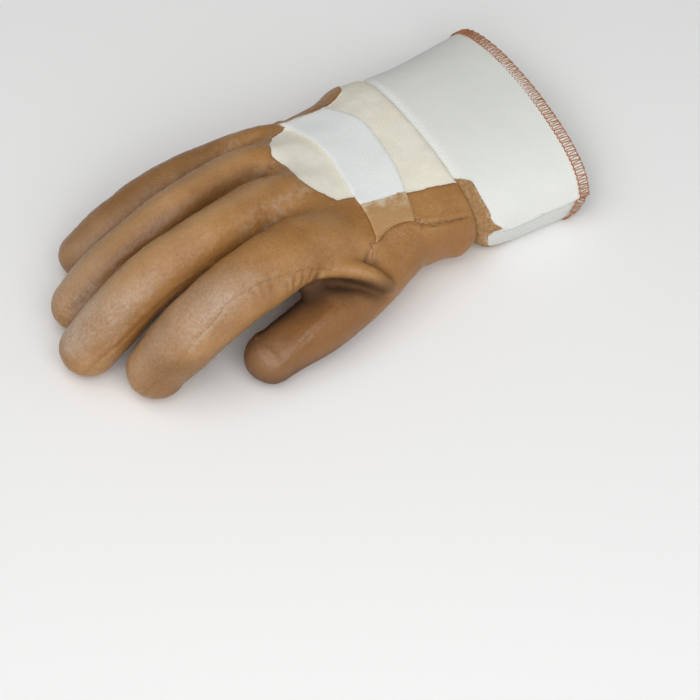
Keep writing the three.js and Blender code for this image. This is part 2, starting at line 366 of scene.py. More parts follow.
class Skin:
    """The points and edges of a worked surface."""

    def __init__(self, piece):
        self.piece = piece
        self.points = points_of(piece)
        edges = np.empty(len(piece.data.edges) * 2, np.int32)
        piece.data.edges.foreach_get("vertices", edges)
        self.edges = edges.reshape(-1, 2)
        self.around = np.bincount(self.edges.ravel(), minlength=len(self.points))

    def middle_of_neighbours(self, values):
        a, b = self.edges.T
        n = len(values)
        total = np.stack([
            np.bincount(a, values[b, k], n) + np.bincount(b, values[a, k], n) for k in range(values.shape[1])
        ], 1)
        return total / self.around[:, None]

    def settle(self, share):
        """Moves the points towards the middle of their neighbours."""
        self.points += share * (self.middle_of_neighbours(self.points) - self.points)

    def relax(self, rounds):
        """Takes out the steps of the remesh and keeps the form."""
        for _ in range(rounds):
            self.settle(0.5)
            self.settle(-0.52)

    def smooth(self, rounds, where):
        for _ in range(rounds):
            self.settle(0.5 * where[:, None])

    def fill_hollows(self, rounds, share, where):
        """Lets the rubber bridge sharp valleys, as a dip does."""
        for i in range(rounds):
            if i % 4 == 0:
                put_points(self.piece, self.points)
                normals = normals_of(self.piece)
            away = self.middle_of_neighbours(self.points) - self.points
            hollow = ease(0.0, 0.04, (away * normals).sum(1))
            self.points += (share * hollow * where)[:, None] * away

    def raise_by(self, height):
        put_points(self.piece, self.points)
        self.points = self.points + normals_of(self.piece) * np.asarray(height)[:, None]
        put_points(self.piece, self.points)


def tree_of(piece):
    mesh = bmesh.new()
    mesh.from_mesh(piece.data)
    tree = BVHTree.FromBMesh(mesh)
    mesh.free()
    return tree


def on_surface(tree, line):
    """A line drawn near the glove, in short steps, pressed onto its surface, with the surface's normals."""
    line = through(line, 6)
    run = run_along(line)
    at = np.linspace(0, run[-1], max(int(run[-1] / SHORT_STEP), 4))
    line = np.stack([np.interp(at, run, line[:, k]) for k in range(3)], 1)
    hits = [tree.find_nearest(Vector(p)) for p in in_frame(line)]
    return in_mm([h[0] for h in hits]), np.array([h[1] for h in hits])


def from_line(points, line, normals):
    """For each point: its distance from a line, its offset to the line's left and how far along it is."""
    best = np.full(len(points), 1e9)
    side, along = np.zeros(len(points)), np.zeros(len(points))
    run = 0.0
    for start, end, normal in zip(line, line[1:], normals):
        step = end - start
        length = np.linalg.norm(step)
        t = np.clip((points - start) @ step / length**2, 0, 1)
        gap = points - (start + t[:, None] * step)
        far = np.linalg.norm(gap, axis=1)
        near = far < best
        best[near] = far[near]
        side[near] = (gap @ np.cross(normal, step / length))[near]
        along[near] = (run + t * length)[near]
        run += length
    return best, side, along, run


def from_drawn(tree, points, line):
    """The same, from a line drawn near the glove and pressed onto it."""
    return from_line(points, *on_surface(tree, line))


# Where the dip ends on the back of the hand, seen from above
BARE_PATCH = [
    (20, -35), (-1, -33.5), (-14, -30.5), (-24, -29.5), (-36, -28.5), (-47.5, -27.5), (-48.5, -23), (-58, -22.7),
    (-61.6, -18.3), (-66, -12.5), (-69, -6.2), (-67.3, 4), (-67.8, 8.4), (-70.1, 14.3), (-66, 23.2), (-60.6, 29.5),
    (-54.8, 31.5), (-50.9, 34.5), (-42, 36), (-34, 38), (-26, 38.5), (-20, 41), (-14, 45), (-11, 52), (-9, 62),
    (20, 62),
]


def outside_of(points, outline):
    """Signed distance from an outline seen from above, positive outside."""
    outline = np.array(outline, float)
    near, inside = np.full(len(points), 1e9), np.zeros(len(points), bool)
    for a, b in zip(outline, np.roll(outline, -1, axis=0)):
        step = b - a
        t = np.clip((points[:, :2] - a) @ step / (step @ step), 0, 1)
        near = np.minimum(near, np.linalg.norm(points[:, :2] - a - t[:, None] * step, axis=1))
        crosses = (a[1] > points[:, 1]) != (b[1] > points[:, 1])
        with np.errstate(divide="ignore", invalid="ignore"):
            at = a[0] + (points[:, 1] - a[1]) * step[0] / step[1]
        inside ^= crosses & (points[:, 0] < at)
    return np.where(inside, -near, near)


def dip_depth(points):
    """How far a point of the hand lies inside the dipped part, less than 0 on the bare knit."""
    patch = outside_of(points, BARE_PATCH)
    low = (17 + 0.9 * np.clip(-points[:, 0], 0, 10) - points[:, 2]) * 0.74
    return np.maximum(patch, low) + grains(points, (0.4, 7.0, 3.1), (0.25, 2.6, 8.4))


# The valleys between the fingers' bases on the back of the hand: x, y, z, depth, half width
VALLEYS = [
    [(-126, -27.5, 48, 1.0, 3), (-114, -26, 54, 4.2, 3.8), (-102, -24, 56, 4.8, 4.6), (-90, -22, 56, 3.2, 5.4),
     (-80, -20, 54, 1.6, 6), (-70, -18, 52, 0.4, 6), (-60, -15, 50, 0, 6)],
    [(-124, 0.5, 46, 1.0, 3), (-112, 3, 50, 3.8, 3.6), (-100, 5.8, 51, 4.6, 4.2), (-88, 7.8, 51, 3.6, 4.6),
     (-76, 9, 51, 2.4, 5.2), (-64, 10, 50, 1.2, 5.5), (-54, 12, 48, 0, 6)],
    [(-118, 26.5, 36, 1.0, 3), (-108, 27.5, 39, 3.5, 3.6), (-96, 29.6, 42, 4.2, 4.2), (-84, 31, 43, 3.6, 4.6),
     (-72, 31.5, 43, 2.6, 5.2), (-60, 31.5, 43, 1.4, 6), (-44, 31, 42, 0, 6)],
]

# The dark crease under the fold at the thumb's root, measured in the same way
CREASE = [(-82, -48, 30, 0, 2.5), (-77, -51, 31, 2.5, 3), (-72, -54.5, 32, 3.4, 3.2), (-67.5, -58.5, 31.5, 3.4, 3.2),
          (-62.5, -62, 29, 2.6, 3), (-57.5, -64.5, 25, 1.2, 2.6), (-55, -64.5, 20, 0, 2.4)]

# Where shade is painted darkest, under the fold and down the thumb's side that faces the index finger
CAVITY = [(-60, -63, 28), (-68, -58.5, 31), (-76, -53, 31), (-86, -49.5, 27), (-98, -50, 22), (-108, -51, 17)]

# Sewn lines under the coat
SEAMS = {
    "index": [
        (-73.4, -47.1, 34.9), (-86, -48.8, 46.3), (-96.4, -50.7, 52.6), (-103.3, -52, 55.2), (-114.6, -52.9, 57.7),
        (-125.4, -53.8, 57), (-134, -53.7, 54.7), (-141, -54.8, 49.2), (-149.3, -54.8, 43.5), (-157.8, -54.8, 35),
        (-164.7, -52.8, 25.5), (-170.7, -48.3, 16.2), (-173, -42, 9), (-171, -32, 8), (-165, -27, 14),
        (-155, -28, 28), (-140, -28.5, 38), (-122, -28, 44),
    ],
    "middle": [
        (-118, -27, 47), (-132, -27.5, 47), (-148, -28, 43), (-165.1, -28.3, 33), (-174.8, -27.5, 25.8),
        (-179.5, -26.4, 22.7), (-184.9, -23.6, 17.1), (-189, -19, 11), (-190, -11, 9), (-186, -3, 12),
        (-176, -0.8, 24), (-160, -0.8, 36), (-140, -0.8, 44), (-122, -0.5, 47),
    ],
    "ring": [
        (-122, 0.8, 42), (-140, -0.2, 36), (-158, -0.2, 28), (-172, 1, 18), (-181, 6, 8), (-182, 14, 7),
        (-176, 22, 14), (-160, 25.5, 26), (-140, 26, 35), (-122, 26, 40),
    ],
    "little": [
        (-112, 26.5, 28), (-130, 26, 24), (-148, 26, 17), (-162, 31, 8), (-166, 38, 7), (-160, 47, 11),
        (-146, 50.5, 19), (-124, 51, 27), (-98, 50.5, 30), (-70, 47.5, 29), (-40, 47.5, 23), (-20, 55, 21),
        (-4, 56, 20),
    ],
    "thumb_back": [
        (-28.8, -43.4, 42.4), (-33.5, -42.9, 43), (-38, -43.4, 43.5), (-45, -45.6, 43.5), (-50.4, -48.6, 43),
        (-55.2, -52.2, 41), (-59, -54.6, 39.5),
    ],
    "wrist_side": [
        (-29.1, -43.2, 42.4), (-25.1, -47.1, 38.4), (-16.3, -47.5, 33.5), (-8.4, -48, 31), (-0.5, -48.5, 29.8),
    ],
    "thumb_line": [
        (-75, -61.8, 33.4), (-84.5, -64.3, 30.6), (-96.7, -66.2, 26.3), (-104.7, -67.4, 22.8),
        (-113, -67.1, 17.2), (-121, -63, 12),
    ],
    "thumb_palm": [
        (-68, -44, 25), (-66, -36, 17), (-58, -27, 11), (-44, -20, 7), (-28, -18, 4), (-14, -22, 2), (-2, -27, 1),
    ],
}

# How deep a seam is drawn in; the other ones lie under more coat
DEEP_SEAMS = {"thumb_back": 1.5, "wrist_side": 2.3, "thumb_palm": 1.2}
OTHER_SEAM = 0.55


def make_hand():
    turns = arc_shares(UPPER_CORNER, PALM_CORNER, (44, 44))
    palm = loft("coated_hand", [palm_ring(row, turns) for row in through(PALM, 3)], True)
    parts = [add_digit(name, rows) for name, rows in DIGITS.items()]
    only(*parts, palm)
    bpy.ops.object.join()
    hand = bpy.context.object
    finish_modifier(hand, "REMESH", mode="VOXEL", voxel_size=REMESH_SIZE / 1000, use_smooth_shade=True)

    skin = Skin(hand)
    skin.relax(14)
    p = skin.points
    x, y, z = p.T
    above_fold = np.array(DIGITS["fold"])[:, :3] + (0, 5, 3.5)
    far = from_line(p, above_fold, np.tile((0, 0, 1.0), (len(above_fold), 1)))[0]
    skin.fill_hollows(24, 0.5, np.maximum(0.04 + 0.9 * ease(-112, -80, x), bell(far, 7.0)))
    # the slack between the index's root, the fold and the elastic's end lies flat
    slack = np.maximum(bell(np.hypot(x + 57, y + 40), 16.0, 4), bell(np.hypot(x + 66, y + 22), 19.0, 4))
    skin.fill_hollows(240, 0.6, slack * ease(33, 37, z))
    skin.smooth(150, bell(np.hypot(x + 62, y + 25), 17.0, 4) * ease(42, 46, z))
    put_points(hand, skin.points)
    press_valleys(skin)
    skin.relax(3)
    put_points(hand, skin.points)

    # the bare knit lies smooth over what is under it
    p = skin.points
    skin.smooth(90, (1 - ease(-4, 3, outside_of(p, BARE_PATCH))) * ease(26, 34, p[:, 2]))
    # slack and handling lumps of the rubber
    skin.raise_by(grains(skin.points, (0.45, 22.0, 1.7), (0.25, 9.0, 5.3), (0.13, 4.4, 9.1), (0.07, 2.5, 3.7)))
    press_details(skin)
    return hand


def press_valleys(skin):
    """Sinks the valleys that run up the back of the hand from between the fingers, and the crease at the thumb."""
    tree = tree_of(skin.piece)
    p = skin.points
    sink = np.maximum(np.max([groove(tree, p, rows) for rows in VALLEYS], axis=0), 0)
    skin.points = p + sink[:, None] * (0, 0, -1.0) + groove(tree, p, CREASE)[:, None] * (0.1, 0.45, -0.88)
    put_points(skin.piece, skin.points)


def groove(tree, points, rows):
    """How deep a groove is at each point; its rows give its line, depth and half width."""
    rows = through(rows, 4)
    far, _, along, length = from_drawn(tree, points, rows[:, :3])
    at = np.linspace(0, 1, len(rows))
    deep, wide = (np.interp(along / length, at, rows[:, k]) for k in (3, 4))
    return deep * bell(far, wide)


def press_details(skin):
    """Raises and sinks what is finer than the hand's form."""
    tree = tree_of(skin.piece)
    p = skin.points
    x, y, z = p.T
    height = np.zeros(len(p))

    # seams: a thin groove between two soft shoulders, drawn into small puckers
    for name, line in SEAMS.items():
        far, side, along, length = from_drawn(tree, p, line)
        ends = ease(0, 4, along) * ease(0, 4, length - along)
        strength = DEEP_SEAMS.get(name, OTHER_SEAM)
        if name in ("index", "middle"):
            strength = strength + 1.1 * ease(-168, -178, x)
        pucker = np.sin(along * 1.6 + 3 * grain(p, 6.0, 4.4)) * np.exp(-np.abs(side) / 3.0)
        height += ends * (far < 8) * (
            strength * (-0.3 * bell(side, 0.8) + 0.2 * bell(np.abs(side) - 2.1, 1.3))
            + np.minimum(strength, 0.7) * (0.05 * grain(p, 3.0, 2.2) + 0.1 * pucker)
        )
        if name == "index":
            # short folds that hang from the seam down the finger's side
            folds = np.sin(along + 0.4 * side + 3.5 * grain(p, 9.0, 6.1))
            hang = bell(side - 4.5, 4.0) * (far < 12) * ease(6, 18, along) * (1 - ease(50, 75, along))
            height += 0.6 * folds * hang
        if name == "thumb_line":
            # the thumb's upper side falls away flat from its seam towards the palm
            flat = bell(side + 9, 6.0) * (far < 22) * (z > 14)
            ridge = 0.7 * bell(side, 2.4) * (far < 6)
            height += ease(0, 12, along) * ease(6, 22, length - along) * (ridge - 1.8 * flat)

    # the heel stands out over the cuff's seam
    height += 2.6 * bell(x + 9, 6.5) * ease(-44, -50, y) * (1 - ease(14, 24, z)) * ease(0, 3, z)
    # the valleys' walls are drawn into small wrinkles
    height += 0.3 * ease(0.3, 1.6, hollowness(skin, 60)) * grain(p * (1, 1, 0.6), 2.7, 7.7)
    # the elastic's end under the coat, at the little finger's side
    band = ease(-54, -51, x) * (1 - ease(-29, -26, x)) * ease(30, 33, y) * (1 - ease(42, 47, y))
    height += 0.7 * band * (z > 28)
    # the bare knit lies lower than the coat that ends on it
    height -= 0.55 * (1 - ease(-0.5, 0.5, dip_depth(p)))
    # the open end turns in to its seam with the cuff
    roll = np.clip((x + 3.5) / 3.5, 0, 1)
    height -= 1.1 * (1 - np.sqrt(1 - roll**2))
    skin.raise_by(height)


def hollowness(skin, rounds):
    """How far each point lies under the smoothed surface."""
    away = skin.points
    for _ in range(rounds):
        away = skin.middle_of_neighbours(away)
    return ((away - skin.points) * normals_of(skin.piece)).sum(1)


def shelter(skin, tree, reach=0.035):
    """The share of the room over each point that other parts of the glove take up, 0 to 1."""
    ways = []
    for turn, rise in zip(np.arange(9) * 2.4, np.linspace(0.25, 0.95, 9)):
        flat = math.sqrt(1 - rise * rise)
        ways.append(Vector((math.cos(turn) * flat, math.sin(turn) * flat, rise)))
    spots, ups = in_frame(skin.points), normals_of(skin.piece)
    taken = np.zeros((len(spots), 1))
    for i, (spot, up) in enumerate(zip(spots, ups)):
        turn = Vector(up).to_track_quat("Z", "Y")
        start = Vector(spot + up * 0.0006)
        for way in ways:
            if tree.ray_cast(start, turn @ way, reach)[0] is not None:
                taken[i] += 1 / len(ways)
    for _ in range(4):
        taken = skin.middle_of_neighbours(taken)
    return taken[:, 0]


def close_hand(hand):
    """Opens the wrist end, gives the wall its thickness and notes what its finishes read."""
    only(hand)
    edit_all()
    bpy.ops.mesh.bisect(plane_co=in_frame((0, 0, 0)), plane_no=(1, 0, 0), clear_outer=True)
    bpy.ops.object.mode_set(mode="OBJECT")
    for name, values in coat_notes(Skin(hand)).items():
        note(hand, name, values)
    finish_modifier(hand, "SOLIDIFY", thickness=HAND_WALL / 1000, offset=-1, material_offset=1, material_offset_rim=0)
    thin_lining(hand)
    only(hand)
    bpy.ops.object.shade_smooth()


def coat_notes(skin):
    """What the coat's finish reads at each point."""
    p, tree = skin.points, tree_of(skin.piece)
    x, y, z = p.T

    seam_side, seam_near = np.full(len(p), 9.0), np.full(len(p), 9.0)
    for name, line in SEAMS.items():
        far, side, along, length = from_drawn(tree, p, line)
        far = far + 4 * (1 - ease(0, 3, along) * ease(0, 3, length - along)) + (0 if name in DEEP_SEAMS else 1.7)
        nearer = far < seam_near
        seam_near[nearer], seam_side[nearer] = far[nearer], side[nearer]

    # pale haze in the valleys, over the index's seam and at the little finger's root
    far = from_drawn(tree, p, SEAMS["index"])[0]
    bloom = [0.55 * bell(far, 6.5) * ease(-92, -106, x) * ease(-168, -150, x),
             0.8 * bell(x + 74, 13) * bell(y - 38, 5) * ease(30, 36, z)]
    for rows, offset in zip(VALLEYS, (6, -2, -2)):
        far, _, along, length = from_drawn(tree, p, np.array(rows)[:, :3] + (0, offset, 0))
        bloom.append(bell(far, 4.5) * ease(0.15, 0.4, along / length))

    # painted sheen: the fingers' upward-facing sides are paler grey from some way up to their tips
    begin = np.interp(y, (-50, -30, -14, 12, 38), (-104, -122, -156, -150, -130))
    share = np.interp(y, (-50, -28, -14, 12, 38), (0.55, 0.56, 1, 0.56, 0.2))
    finger_sheen = ease(0, 38, begin - x) * ease(0.05, 0.75, np.clip(normals_of(skin.piece)[:, 2], 0, 1)) * share

    # painted highlight along the fingers' crests, painted shade down their flanks and over the little finger
    crest_highlight, flank_shade = [], [0.26 * ease(25, 32, y) * ease(-75, -100, x)]
    for name, pale, dark in (("middle", 0.36, 0), ("ring", 0.34, 0.4), ("little", 0, 0.4)):
        rows = np.array(DIGITS[name])
        path, normals = on_surface(tree, rows[1:, :3] + rows[1:, 4:] * (0, 0.15, 1))
        crest_highlight.append(pale * bell(from_line(p, path, normals)[0], 4.6))
        flank_shade.append(dark * bell(from_line(p, path + (0, -11.5, -5), normals)[0], 6.0, 4))

    # painted shadow under the fold and along the thumb, and painted shade on the thumb's lower edge
    in_cavity = bell(from_drawn(tree, p, CAVITY)[0], 6.5) * ease(38, 33, z)
    under_thumb = 0.6 * ease(-50, -58, y) * ease(18, 8, z) * ease(-40, -60, x)
    return {
        "dip": dip_depth(p), "seam_side": seam_side, "seam_near": seam_near,
        # how far a point lies under the surface smoothed over a short and a long reach; the coat paints shade with
        # both
        "hollow": hollowness(skin, 8), "valley_shade": hollowness(skin, 110), "bloom": np.max(bloom, axis=0),
        "finger_sheen": finger_sheen * np.clip(0.88 + 0.5 * grain(p, 11.0, 2.9), 0, 1),
        # painted shade under the fold at the thumb's root
        "under_fold_shade": ease(-58, -72, x) * ease(-42, -52, y) * ease(38, 30, z),
        # the crotch of the thumb is darker than the valleys between the fingers
        "shade": shelter(skin, tree) * (1 - 0.62 * ease(-46, -36, y)),
        "cavity_shade": np.maximum(in_cavity, under_thumb), "crest_highlight": np.max(crest_highlight, axis=0), "flank_shade": np.max(flank_shade, axis=0),
        # painted shade low on the near side, over the thumb and the heel
        "thumb_side_shade": ease(-36, -50, y) * ease(36, 26, z) * ease(-138, -126, x),
    }


def thin_lining(hand):
    """Gives the lining, which is plain, fewer faces than the worked outside."""
    only(hand)
    bpy.ops.object.mode_set(mode="EDIT")
    bpy.ops.mesh.select_mode(type="FACE")
    bpy.ops.mesh.select_all(action="DESELECT")
    mesh = bmesh.from_edit_mesh(hand.data)
    for face in mesh.faces:
        face.select_set(face.material_index == 1)
    bmesh.update_edit_mesh(hand.data)
    bpy.ops.mesh.decimate(ratio=0.3)
    bpy.ops.mesh.select_mode(type="VERT")
    bpy.ops.object.mode_set(mode="OBJECT")


# The elastic

ELASTIC_WIDTH = 25
# Its edges from the thumb's seam to the little finger's side, from above: x, y of the finger edge and the cuff edge
ELASTIC = [
    (-51.1, -45.6, -28.9, -42.6), (-49.8, -37.9, -27.2, -36.6), (-49.3, -29.3, -25.7, -29.5),
    (-49.4, -21, -23, -19.5), (-48.1, -9.9, -21, -8), (-46.9, 2.5, -20, 3.5), (-47.1, 12.7, -19.6, 13.5),
    (-48.9, 23.2, -21, 22.5), (-51.2, 31.5, -25.5, 31), (-53.2, 37, -29.5, 36), (-55, 42, -33, 41),
]


def make_elastic(hand):
    tree = tree_of(hand)
    edges = through(ELASTIC, 12)
    run = run_along(edges[:, :2])
    bpy.ops.mesh.primitive_grid_add(x_subdivisions=26, y_subdivisions=110, size=0.1)
    band = bpy.context.object
    band.name = "elastic_strip"
    across, along = (np.array([v.co[:2] for v in band.data.vertices]) / 0.1 + 0.5).T
    from_end = along * run[-1]
    at = [np.interp(from_end, run, edges[:, k]) for k in range(4)]
    x, y = at[0] + (at[2] - at[0]) * across, at[1] + (at[3] - at[1]) * across
    # its coated end is cut along the curve of the thumb's seam
    y = y + 2.4 * np.sin(np.pi * across) * np.exp(-from_end / 7)
    down, hits = Vector((0, 0, -1)), []
    for spot in zip(x, y):
        hits.append(tree.ray_cast(Vector(in_frame((*spot, 90))), down)[:2])
    skin = Skin(band)
    skin.points = in_mm([hit for hit, _ in hits])
    edge, end = np.minimum(across, 1 - across), np.minimum(along, 1 - along)
    inner = (edge > 0.001) & (end > 0.001)
    for _ in range(20):
        skin.points[inner] = skin.middle_of_neighbours(skin.points)[inner]
    lift = 1.35 - 2.1 * ease(36, 41, skin.points[:, 1]) + 0.12 * grain(skin.points, 9.0, 2.0)
    lift = lift - 0.45 * (1 - ease(0, 0.9, edge * ELASTIC_WIDTH)) - 0.9 * ease(2.5, 0, from_end)
    skin.points = skin.points + np.array([up for _, up in hits]) * lift[:, None]
    put_points(band, skin.points)
    note(band, "dip", band_dip(skin.points))
    note(band, "across", across * ELASTIC_WIDTH)
    note(band, "lengthwise", from_end)
    finish_modifier(band, "SOLIDIFY", thickness=BAND_WALL / 1000, offset=-1)
    only(band)
    bpy.ops.object.shade_smooth_by_angle(angle=math.radians(60))
    return band


def band_dip(points):
    """How far a point of the elastic lies inside its dipped ends, less than 0 on the white between them."""
    thumb_end = points[:, 1] + 29.0 + 0.04 * (points[:, 0] + 37)
    far_end = 36.0 - points[:, 1]
    return -np.minimum(thumb_end, far_end) - grains(points, (0.8, 5.0, 6.0), (0.4, 2.0, 1.5))


# The cuff

# x, near edge, far edge, top, height of the crease, lowest point, squareness below, how much shorter below
CUFF = [
    (-8, -48.4, 53.2, 40.4, 20, 4, 3, 0), (0.4, -48.4, 53.2, 40.4, 20, 3.8, 3, 0),
    (3.2, -49.6, 55, 41.6, 18, 1, 4, 0), (8, -50.9, 56, 41.5, 15.5, 0.2, 6, 0), (20, -52, 57, 40.6, 13.5, 0, 8, 0),
    (42, -52.4, 59.5, 38.8, 13.5, 0, 9, 5), (61, -53, 61.5, 37.4, 14, 0, 9, 10),
]
CUFF_WALL, CREASE_HEIGHT, OFF_TABLE = 1.3, 13.9, 0.05
UPPER_POINTS, LOWER_POINTS = 110, 90

# Where the dip ends on the cuff: degrees round it, from the little finger's crease over the back, and x there
CUFF_DIP = [
    (0, 2), (8, -1), (18, -6), (120, -6), (127, 0), (130, 5.5), (135, 6.7), (151, 7.4), (168, 8.2), (179.2, 14),
    (180.4, 6), (190, 6), (197, 8), (215, 19), (228, 24), (236, 19.5), (243, 24), (255, 29), (270, 31),
    (288, 28), (305, 24), (325, 20), (345, 12), (355, 5), (360, 2),
]


def cuff_ring(row, turns):
    x, near, far, top, side, under, corner, slant = row
    across, rise = np.cos(turns), np.sin(turns)
    out, lift = section(turns, corner, top - side, side - under)
    z = np.maximum(side + lift, OFF_TABLE + 0.6 * ease(53, 59, x))
    # the hem is shorter below, bulges a little over the back and draws in at the thumb's crease
    bulge = 1.7 * rise * ease(-0.9, 0.3, across) - 1.2 * np.clip(-across, 0, 1) ** 6
    back = np.where(z < side, slant * (side - z) / side, 0) - ease(20, 61, x) * np.where(rise > 0, bulge, 0)
    # the back panel stands out over the palm panel along both creases
    above, below = z - side, side - z
    lip = 0.7 * bell(above, 2.5) * (above >= 0) - 1.3 * bell(below - 1.4, 1.8) * (below > 0)
    y = (near + far) / 2 + (far - near) / 2 * out + np.sign(out) * ease(4, 16, x) * lip * (np.abs(out) > 0.7)
    return np.stack([x - back, y, z], 1)


def make_cuff():
    rows = through(CUFF, 9)
    shares = [arc_shares(UPPER_CORNER, row[6], (UPPER_POINTS, LOWER_POINTS)) for row in rows]
    rings = [cuff_ring(row, turns) for row, turns in zip(rows, shares)]
    around = run_along(closed(rings[-1]))[:-1]
    notes = []
    for ring, turns in zip(rings, shares):
        limit = np.interp(np.degrees(turns), *zip(*CUFF_DIP))
        notes.append({"dip": limit - ring[:, 0], "round": around, "lengthwise": ring[:, 0]})
    cuff = loft("cuff", rings[::-1], False, notes[::-1])
    skin = Skin(cuff)
    p = skin.points
    hem = np.array([np.argmin(((p - spot) ** 2).sum(1)) for spot in rings[-1]])
    skin.raise_by(ease(2, 14, p[:, 0]) * grains(p, (0.35, 24.0, 4.0), (0.12, 8.0, 7.0)) * (p[:, 2] > 2))
    keep_off_table(skin)
    return cuff, hem


def keep_off_table(skin):
    skin.points[:, 2] = np.maximum(skin.points[:, 2], OFF_TABLE)
    put_points(skin.piece, skin.points)


def lay_cuff_cloth(cuff, hem):
    """The cloth's own map, in metres round the cuff and along it."""
    whole = run_along(closed(points_of(cuff)[hem]))[-1]
    rounds, lengthwise = noted(cuff, "round"), noted(cuff, "lengthwise")
    layer = cuff.data.uv_layers.new(name="cloth")
    for face in cuff.data.polygons:
        u = rounds[list(face.vertices)]
        if np.ptp(u) > whole / 2:
            u = np.where(u < whole / 2, u + whole, u)
        for loop, value, vertex in zip(face.loop_indices, u, face.vertices):
            layer.data[loop].uv = (value / 1000, lengthwise[vertex] / 1000)


def close_cuff(cuff, hem):
    """Adds the coat and the wall, and returns the hem's finished line."""
    skin = Skin(cuff)
    p = skin.points
    dip = noted(cuff, "dip") + grains(p, (1.0, 5.0, 1.2), (0.6, 2.0, 5.5))
    note(cuff, "coat_edge", dip)
    skin.raise_by(0.35 * ease(-0.4, 0.4, dip) * ease(0.5, 2, p[:, 0]))
    keep_off_table(skin)
    for face in cuff.data.polygons:
        face.material_index = int(face.center[2] * 1000 < CREASE_HEIGHT)
    finish_modifier(cuff, "SOLIDIFY", thickness=CUFF_WALL / 1000, offset=-1, use_even_offset=True,
                    material_offset=2, material_offset_rim=2)
    only(cuff)
    bpy.ops.object.shade_smooth_by_angle(angle=math.radians(50))
    return skin.points[hem]


# The overlocked hem

# The pitch and the depth of the stitches, and the thread's radius
STITCH_PITCH, STITCH_BITE, THREAD = 2.4, 4.6, 0.28


def hem_place(ring, run, at, inward, height):
    """Where a point of the stitching lies: at along the hem, inward from its edge, height over the cloth."""
    behind, spot, ahead = (
        np.stack([np.interp(np.mod(np.mod(at, run[-1]) + shift, run[-1]), run, ring[:, k]) for k in range(3)], -1)
        for shift in (-0.8, 0, 0.8))
    along = ahead - behind
    along /= np.linalg.norm(along, axis=-1, keepdims=True)
    off = np.array([1.0, 0, 0]) - along * along[..., :1]
    off /= np.linalg.norm(off, axis=-1, keepdims=True)
    return spot - off * inward[..., None] + np.cross(along, off) * height[..., None]


def lay_thread(path, is_ring, sides):
    """A round thread laid along a path."""
    curve = bpy.data.curves.new("stitch", "CURVE")
    curve.dimensions = "3D"
    line = curve.splines.new("POLY")
    line.points.add(len(path) - 1)
    line.points.foreach_set("co", np.column_stack([in_frame(path), np.ones(len(path))]).ravel())
    line.use_cyclic_u = is_ring
    curve.bevel_depth = THREAD / 1000
    curve.bevel_resolution = sides
    piece = bpy.data.objects.new("stitch", curve)
    bpy.context.scene.collection.objects.link(piece)
    only(piece)
    bpy.ops.object.convert(target="MESH")
    return bpy.context.object


def make_overlock(hem):
    ring = closed(hem)
    run = run_along(ring)
    count = int(run[-1] / STITCH_PITCH)
    pitch = run[-1] / count
    inside = -CUFF_WALL
    # one stitch: along the hem, inward from the edge, height over the cloth
    stitch = np.array([
        (0.06, -0.30, -0.30), (0.13, 0.20, 0.24), (0.19, 2.2, 0.30), (0.25, 4.1, 0.24), (0.42, 4.75, 0.14),
        (0.60, 4.1, 0.24), (0.67, 2.2, 0.30), (0.74, 0.20, 0.24), (0.88, -0.30, -0.30), (0.90, -0.2, inside - 0.1),
        (0.75, 2.0, inside - 0.28), (0.55, 4.1, inside - 0.2),
    ])
    rng = np.random.default_rng(7)
    parts = []
    for i in range(count):
        lean = rng.normal(0, 0.06, 2)
        along, inward, height = stitch.T.copy()
        along[1:3] += lean[0]
        along[6:8] += lean[1]
        parts.append(lay_thread(hem_place(ring, run, (i + along) * pitch, inward, height), False, 0))
    at = np.linspace(0, run[-1], int(run[-1] / 0.35), endpoint=False)
    wave = 2 * math.pi * at / pitch
    # the threads that run round the hem: one locks the stitches, two lie on the cloth's edge
    for inward, height in (
        (STITCH_BITE + 0.28 * np.sin(wave), 0.2 + 0.1 * np.cos(wave)),
        (-0.3 + 0.12 * np.sin(wave), -0.1 + 0.25 * np.sin(wave * 0.5)),
        (-0.35 - 0.12 * np.sin(wave), -0.8 + 0.25 * np.cos(wave * 0.5)),
    ):
        parts.append(lay_thread(hem_place(ring, run, at, inward, height), True, 1))
    only(*parts)
    bpy.ops.object.join()
    overlock = bpy.context.object
    overlock.name = "overlock"
    bpy.ops.object.shade_smooth()
    return overlock


# Finishes

def srgb(*values):
    return tuple(((v / 255 + 0.055) / 1.055) ** 2.4 if v > 10 else v / 255 / 12.92 for v in values) + (1.0,)


